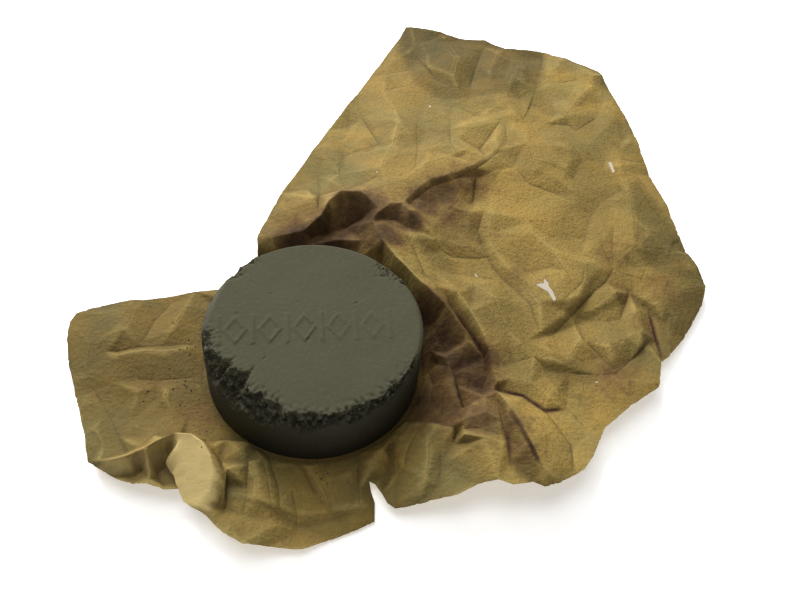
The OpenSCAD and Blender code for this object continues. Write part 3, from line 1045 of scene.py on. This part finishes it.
# Broken stretches of the top edge: [middle in degrees, half width, depth in from the edge, depth down it].
BROKEN = [
    (199, 12, 2.6, 5.0), (213, 14, 5.0, 8.0), (231, 16, 6.2, 8.6), (251, 18, 3.8, 8.0), (274, 20, 2.2, 7.0),
    (299, 20, 1.9, 5.6), (320, 15, 1.4, 3.8), (336, 9, 0.9, 2.0), (147, 8, 3.2, 2.6), (134, 5, 1.8, 1.4),
    (52, 8, 3.4, 1.4), (41, 5, 1.0, 0.9),
]
WORN_SIDE = (176, 30, 2.6)      # where that slope is wider: [middle in degrees, half width, width]
FACE_Z = CAKE_TOP - 0.34        # the top's plain face, below its raised row
ROW_RISE = 0.30                 # height of that row
LUMP, CHUNK = 1.1, 0.35         # size of the broken surface's lumps and of its blocks
TINY = 1e-6


def rough(x, y, z, scale, seed):
    return noise.noise((x * scale + seed, y * scale - seed, z * scale + 2 * seed))


def turn_apart(turn, middle):
    """Degrees from the middle to the turn, the shorter way round."""
    return (turn - middle + 180) % 360 - 180


def broken_depths(turn):
    """How far the top edge is broken away at a turn, inwards and down, and how broken it is from 0 to 1."""
    inward = down = share = 0.0
    for middle, half, depth_in, depth_down in BROKEN:
        w = math.exp(-(turn_apart(turn, middle) / half) ** 2 * 1.4)
        inward, down, share = max(inward, depth_in * w), max(down, depth_down * w), max(share, w)
    a = math.radians(turn)
    x, y = math.cos(a), math.sin(a)
    ragged = 1 + 0.45 * rough(x, y, 0, 3.4, 5) + 0.42 * rough(x, y, 0, 9, 8) + 0.10 * rough(x, y, 0, 26, 2)
    steady = 1 + 0.15 * rough(x, y, 0, 5, 14)
    return inward * ragged, down * steady, share


def worn_width(turn):
    """Width of the worn slope round the top edge."""
    middle, half, width = WORN_SIDE
    return WORN_W + (width - WORN_W) * math.exp(-(turn_apart(turn, middle) / half) ** 2)


ROW_TURN = 10.5             # degrees that the row is turned from the left-right line
ROW_MIDDLE = (-2.2, -1.2)   # its middle
ROW_PITCH = 9.2             # distance between its bars
ROW_HALF = 5.2              # half its height
STROKE = 0.75               # half width of its strokes


def relief_row(x, y):
    """The worn raised row of plain lozenges between bars across the top, as a height from 0 to 1."""
    turn = math.radians(ROW_TURN)
    x, y = x - ROW_MIDDLE[0], y - ROW_MIDDLE[1]
    u, v = x * math.cos(turn) + y * math.sin(turn), y * math.cos(turn) - x * math.sin(turn)
    bar_u = (round(u / ROW_PITCH - 0.5) + 0.5) * ROW_PITCH
    bar_u = min(max(bar_u, -2.5 * ROW_PITCH), 2.5 * ROW_PITCH)
    bar = min(STROKE - abs(u - bar_u), ROW_HALF - abs(v)) / STROKE
    lozenge_u = min(max(round(u / ROW_PITCH), -2), 2) * ROW_PITCH
    width = ROW_PITCH / 2 - 1.5 * STROKE
    ring = 1 - abs(abs(u - lozenge_u) / width + abs(v) / ROW_HALF - 0.8) * width / STROKE
    rubbed = 1 - 0.5 * float(smooth((u + 6) / 26))
    return max(0.0, min(1.0, max(bar, ring) * 1.4)) * rubbed


def cake_ring(kind, k):
    """Distance in from the edge and distance down from the top, before the edge is broken, for one ring."""
    if kind == "top":
        return CAKE_R * k / TOP_RINGS, 0.0
    if kind == "side":
        return 0.0, CAKE_H * k / SIDE_RINGS
    return CAKE_R * (k + 1) / (FOOT_RINGS + 1), CAKE_H


def cut_corner(inward, down, cut_in, cut_down):
    """Moves a point near the top edge onto the slope that cuts the edge off.

    The third number is 0 off the slope and highest in its middle.
    """
    if inward >= cut_in or down >= cut_down or (inward > 0 and down > 0):
        return inward, down, 0.0
    reach = cut_in - inward if down == 0 else cut_in + down
    t = reach / (cut_in + cut_down)
    return cut_in * (1 - t), cut_down * t, math.sin(math.pi * t) ** 0.6


def cake_point(turn, inward, down, depths):
    """The broken, worn and pitted cake's surface point, with how broken it is and how hollow."""
    cut_in, cut_down, share = depths
    worn = worn_width(turn)
    cut_in, cut_down = max(cut_in, worn * 0.8), max(cut_down, worn)
    inward, down, slope = cut_corner(inward, down, cut_in, cut_down)
    on_top, on_foot = down < TINY, down >= CAKE_H - TINY
    a = math.radians(turn)
    r, z = CAKE_R - inward, FACE_Z - down * (FACE_Z - CAKE_FOOT) / CAKE_H
    x, y = r * math.cos(a), r * math.sin(a)

    broken = slope * min(1.0, share * 1.5)
    block = noise.cell((x * 0.8, y * 0.8, z * 0.8)) - 0.5
    lump = rough(x, y, z, 0.55, 3) + 0.7 * rough(x, y, z, 1.3, 6) + 0.5 * rough(x, y, z, 3.0, 9)
    dent = broken * (LUMP * lump + CHUNK * block)
    plain = 0.10 * rough(x, y, z, 0.14, 4) + 0.035 * rough(x, y, z, 0.9, 7)
    pit = max(0.0, rough(x, y, z, 0.5, 12) - 0.66) * 1.2
    if inward > 0 and slope == 0:
        beside = math.exp(-(inward - cut_in) / 1.2) * min(1.0, share * 1.4)
        pit = max(pit, beside * max(0.0, rough(x, y, z, 0.85, 31) + 0.12) * 0.8)
    scoop = broken * 0.9 * math.sin(math.pi * min(1.0, share))
    push = dent + plain - pit * (1 - broken) * 0.8 - scoop * 0.35

    outwards = 0.75 if slope > 0 else float(not on_top)
    upwards = 1 - outwards
    if on_foot:
        outwards = upwards = 0.0
    if on_top:
        z += relief_row(x, y) * ROW_RISE * float(smooth((CAKE_R - 2.5 - r) / 2)) - pit
    r = min(r + push * outwards, CAKE_R)
    z = min(z + push * upwards, CAKE_TOP)
    return (r * math.cos(a), r * math.sin(a), z), broken, float(np.clip(dent - pit, -1, 1))


def cake_faces(rings):
    """Faces between the rings, and to the middle point before them and the one after them."""
    def corner(ring, i):
        return 1 + ring * TURN_POINTS + i % TURN_POINTS

    faces = []
    for ring in range(rings - 1):
        for i in range(TURN_POINTS):
            below = corner(ring + 1, i), corner(ring + 1, i + 1)
            faces.append((corner(ring, i), *below, corner(ring, i + 1)))
    for i in range(TURN_POINTS):
        faces.append((0, corner(0, i), corner(0, i + 1)))
        faces.append((corner(rings - 1, i + 1), corner(rings - 1, i), corner(rings, 0)))
    return faces


def make_cake(material):
    rings = [("top", k) for k in range(TOP_RINGS - 1, -1, -1)]
    rings += [("side", k) for k in range(SIDE_RINGS + 1)]
    rings += [("foot", k) for k in range(FOOT_RINGS)]
    depths = [broken_depths(360 * i / TURN_POINTS) for i in range(TURN_POINTS)]
    corners = [((0, 0, FACE_Z), 0.0, 0.0, 0.0)]
    for kind, k in rings:
        inward, down = cake_ring(kind, k)
        # How far onto the side a point lies; the material paints the side darker there, as painted shade.
        side = float(smooth((down - 1.0) / 2.0))
        for i in range(TURN_POINTS):
            corners.append((*cake_point(360 * i / TURN_POINTS, inward, down, depths[i]), side))
    corners.append(((0, 0, CAKE_FOOT), 0.0, 0.0, 1.0))
    places, *varied = zip(*corners)
    mesh = bpy.data.meshes.new("cake_compound")
    mesh.from_pydata([tuple(c * MM for c in p) for p in places], [], cake_faces(len(rings)))
    mesh.polygons.foreach_set("use_smooth", [True] * len(mesh.polygons))
    for key, values in zip(("broken", "hollow", "side"), varied):
        mesh.attributes.new(key, "FLOAT", "POINT").data.foreach_set("value", values)
    mesh.materials.append(material)
    return placed_piece("cake_compound", mesh)


# ---------------------------------------------------------------- crumbs

CRUMB_SIZES = (0.13 * MM, 0.42 * MM)      # radius of the smallest and of the largest
PAPER_CRUMBS = [(-34, -15, 5.0), (-24, -28, 4.0), (-36, 4, 3.4), (10, -34, 3.6)]    # [x, y, spread]


CRUMBS_ON_PAPER = 140000        # crumbs to a square metre where the paper is dirtiest
CRUMBS_ON_CAKE = 900000         # and where the cake is most broken
BROKEN_BARE = 0.35              # the cake has none where it is less broken than this
CRUMB_SEEDS = {"base": 3, "left_flap": 5, "front_flap": 9, "cake": 13}
CRUMB_INPUTS = [
    ("Surface", "Geometry"), ("Density", "Float"), ("Smallest", "Float"), ("Largest", "Float"),
    ("Seed", "Int"), ("Material", "Material"),
]


def crumb_tree():
    """The rule that scatters rough crumbs over a surface."""
    rule = Tree(bpy.data.node_groups.new("crumbs", "GeometryNodeTree"))
    add, join = rule.add, rule.join
    for name, kind in CRUMB_INPUTS:
        rule.tree.interface.new_socket(name, in_out="INPUT", socket_type="NodeSocket" + kind)
    rule.tree.interface.new_socket("Crumbs", in_out="OUTPUT", socket_type="NodeSocketGeometry")

    given, made = add("NodeGroupInput").outputs, add("NodeGroupOutput").inputs
    dirt = add("GeometryNodeInputNamedAttribute", data_type="FLOAT")
    dirt.inputs["Name"].default_value = "dirt"
    density = add("ShaderNodeMath", operation="MULTIPLY")
    join(given["Density"], density.inputs[0])
    join(dirt.outputs["Attribute"], density.inputs[1])
    spots = add("GeometryNodeDistributePointsOnFaces", distribute_method="RANDOM")
    join(given["Surface"], spots.inputs["Mesh"])
    join(density.outputs[0], spots.inputs["Density"])
    join(given["Seed"], spots.inputs["Seed"])
    crumb = add("GeometryNodeMeshIcoSphere")
    crumb.inputs["Radius"].default_value = 1.0
    crumb.inputs["Subdivisions"].default_value = 1
    size = add("FunctionNodeRandomValue", data_type="FLOAT")
    join(given["Smallest"], size.inputs[2])
    join(given["Largest"], size.inputs[3])
    shape = add("FunctionNodeRandomValue", data_type="FLOAT_VECTOR")
    shape.inputs[0].default_value = (0.6, 0.6, 0.5)
    shape.inputs[1].default_value = (1.2, 1.0, 0.9)
    scale = add("ShaderNodeVectorMath", operation="SCALE")
    join(shape.outputs[0], scale.inputs[0])
    join(size.outputs[1], scale.inputs["Scale"])
    turn = add("FunctionNodeRandomValue", data_type="FLOAT_VECTOR")
    turn.inputs[1].default_value = (math.tau, math.tau, math.tau)
    placed = add("GeometryNodeInstanceOnPoints")
    join(spots.outputs["Points"], placed.inputs["Points"])
    join(crumb.outputs["Mesh"], placed.inputs["Instance"])
    join(turn.outputs[0], placed.inputs["Rotation"])
    join(scale.outputs[0], placed.inputs["Scale"])
    real = add("GeometryNodeRealizeInstances")
    join(placed.outputs[0], real.inputs[0])
    painted = add("GeometryNodeSetMaterial")
    join(real.outputs[0], painted.inputs["Geometry"])
    join(given["Material"], painted.inputs["Material"])
    join(painted.outputs[0], made[0])
    return rule.tree


def crumbs(name, tree, points, faces, dirt, density, seed, material):
    """Crumbs over the surface through the points, in metres, as one plain mesh."""
    mesh = bpy.data.meshes.new("surface")
    mesh.from_pydata([tuple(p) for p in points], [], [tuple(int(k) for k in f) for f in faces])
    mesh.attributes.new("dirt", "FLOAT", "POINT").data.foreach_set("value", np.asarray(dirt, np.float32))
    surface = bpy.data.objects.new("surface", mesh)
    scene.collection.objects.link(surface)
    step = surface.modifiers.new("crumbs", "NODES")
    step.node_group = tree
    sockets = {item.name: item.identifier for item in tree.interface.items_tree if item.in_out == "INPUT"}
    values = {"Density": float(density), "Smallest": CRUMB_SIZES[0], "Largest": CRUMB_SIZES[1], "Seed": seed,
              "Material": material}
    for key, value in values.items():
        step[sockets[key]] = value
    bpy.context.view_layer.update()
    ready = bpy.data.meshes.new_from_object(surface.evaluated_get(bpy.context.evaluated_depsgraph_get()))
    bpy.data.objects.remove(surface)
    ready.name = name
    piece = placed_piece(name, ready)
    return piece


# ---------------------------------------------------------------- camera, floor and light

CAMERA_AT = (0.0226, -0.1472, 0.2138)       # metres
CAMERA_DOWN, CAMERA_ROLL = 50.65, 6         # degrees
LENS = 40.5
FLOOR_HALF = 3.0                            # metres


def place_camera():
    """The camera looks down at the cake from the front, turned a little about its own axis."""
    down, roll = math.radians(CAMERA_DOWN), math.radians(CAMERA_ROLL)
    forward = Vector((0, math.cos(down), -math.sin(down)))
    level = Vector((1, 0, 0))
    above = Vector((0, math.sin(down), math.cos(down)))
    right = level * math.cos(roll) + above * math.sin(roll)
    top = above * math.cos(roll) - level * math.sin(roll)
    data = bpy.data.cameras.new("camera")
    data.lens = LENS
    data.sensor_width = 36
    data.clip_start = 0.01
    camera = bpy.data.objects.new("camera", data)
    turn = Matrix((right, top, -forward)).transposed()
    camera.matrix_world = Matrix.Translation(CAMERA_AT) @ turn.to_4x4()
    scene.collection.objects.link(camera)
    scene.camera = camera


def place_floor():
    mesh = bpy.data.meshes.new("floor")
    corners = [(x * FLOOR_HALF, y * FLOOR_HALF, 0) for x, y in ((-1, -1), (1, -1), (1, 1), (-1, 1))]
    mesh.from_pydata(corners, [], [(0, 1, 2, 3)])
    mesh.materials.append(floor_material())
    placed_piece("floor", mesh)


WORLD_GLOW = 0.22
# Each lamp: its place, the point it shines at, its width, its height and its power, in metres and watts.
LAMPS = {
    "back_light": ((-0.42, 0.95, 0.72), (0.02, 0.04, 0), 0.8, 0.6, 31),
    "top_light": ((-0.2, 0.15, 1.1), (0.02, 0.03, 0), 0.8, 0.8, 7),
}


def soft_box(name, place, aim, width, height, power):
    data = bpy.data.lights.new(name, "AREA")
    data.shape = "RECTANGLE"
    data.size, data.size_y = width, height
    data.energy = power
    lamp = bpy.data.objects.new(name, data)
    lamp.location = place
    lamp.rotation_euler = (Vector(aim) - Vector(place)).to_track_quat("-Z", "Y").to_euler()
    scene.collection.objects.link(lamp)


def place_lights():
    world = bpy.data.worlds.new("studio")
    world.use_nodes = True
    world.node_tree.nodes["Background"].inputs["Color"].default_value = (1, 1, 1, 1)
    world.node_tree.nodes["Background"].inputs["Strength"].default_value = WORLD_GLOW
    scene.world = world
    for name, lamp in LAMPS.items():
        soft_box(name, *lamp)
    scene.view_settings.view_transform = "Standard"


# ---------------------------------------------------------------- building

# Each panel: the node it replaces, what it rests on, its fold with the bend across it, and its cut laid
# flat as width, length and area, in metres.
PANELS = {
    "base": ("wrapper_base", [], None, (0.138, 0.139, 0.01080)),
    "left_flap": ("wrapper_left_flap", ["paper_base"], (LEFT_FOLD, SIDE_BEND), (0.045, 0.070, 0.00157)),
    "front_flap": ("wrapper_front_flap", ["paper_base"], (FRONT_FOLD, FRONT_BEND), (0.055, 0.027, 0.00120)),
    "back_flap": ("wrapper_back_flap", ["paper_base"], (BACK_FOLD, SIDE_BEND), (0.131, 0.170, 0.01350)),
}


def follow(piece, name):
    """The base's piece moves with the wrapper; a flap's piece only has its placement baked into its mesh."""
    crossing = PANELS[name][2]
    if crossing is None:
        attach(piece, "wrapper")
        return
    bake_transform(piece)


def finish_panel(name):
    node, rests_on, _, (width, length, area) = PANELS[name]
    piece = panel("paper_" + name, flat, place, faces[region == name], normals, looks)
    piece.data.materials.append(paper)
    follow(piece, name)
    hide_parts(node)


def paper_crumbs(name):
    used, picked = only_used(faces[region == name], len(flat))
    dirt = sum(fall_off(flat[used], (x, y), wide) for x, y, wide in PAPER_CRUMBS)
    dirt *= np.hypot(*flat[used].T) > CAKE_R + 0.8
    surface = (place[used] + normals[used] * PAPER_T / 2) * MM
    seed = CRUMB_SEEDS[name]
    piece = crumbs("crumbs_" + name, crumb_rule, surface, picked, dirt, CRUMBS_ON_PAPER, seed, compound)
    follow(piece, name)


def cake_crumbs():
    points = [v.co for v in cake.data.vertices]
    picked = [f.vertices for f in cake.data.polygons]
    dirt = [max(0.0, value.value - BROKEN_BARE) for value in cake.data.attributes["broken"].data]
    seed = CRUMB_SEEDS["cake"]
    piece = crumbs("crumbs_cake", crumb_rule, points, picked, dirt, CRUMBS_ON_CAKE, seed, compound)
    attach(piece, "cake")


place_camera()
place_floor()
place_lights()

paper = paper_material()
flat, place, faces, looks = make_sheet()
normals = corner_normals(place, faces)
region = regions(flat, faces)

compound = cake_material()
cake = make_cake(compound)
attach(cake, "cake")
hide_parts("cake")

for name in PANELS:
    finish_panel(name)

crumb_rule = crumb_tree()
for name in ("base", "left_flap", "front_flap"):
    paper_crumbs(name)
cake_crumbs()
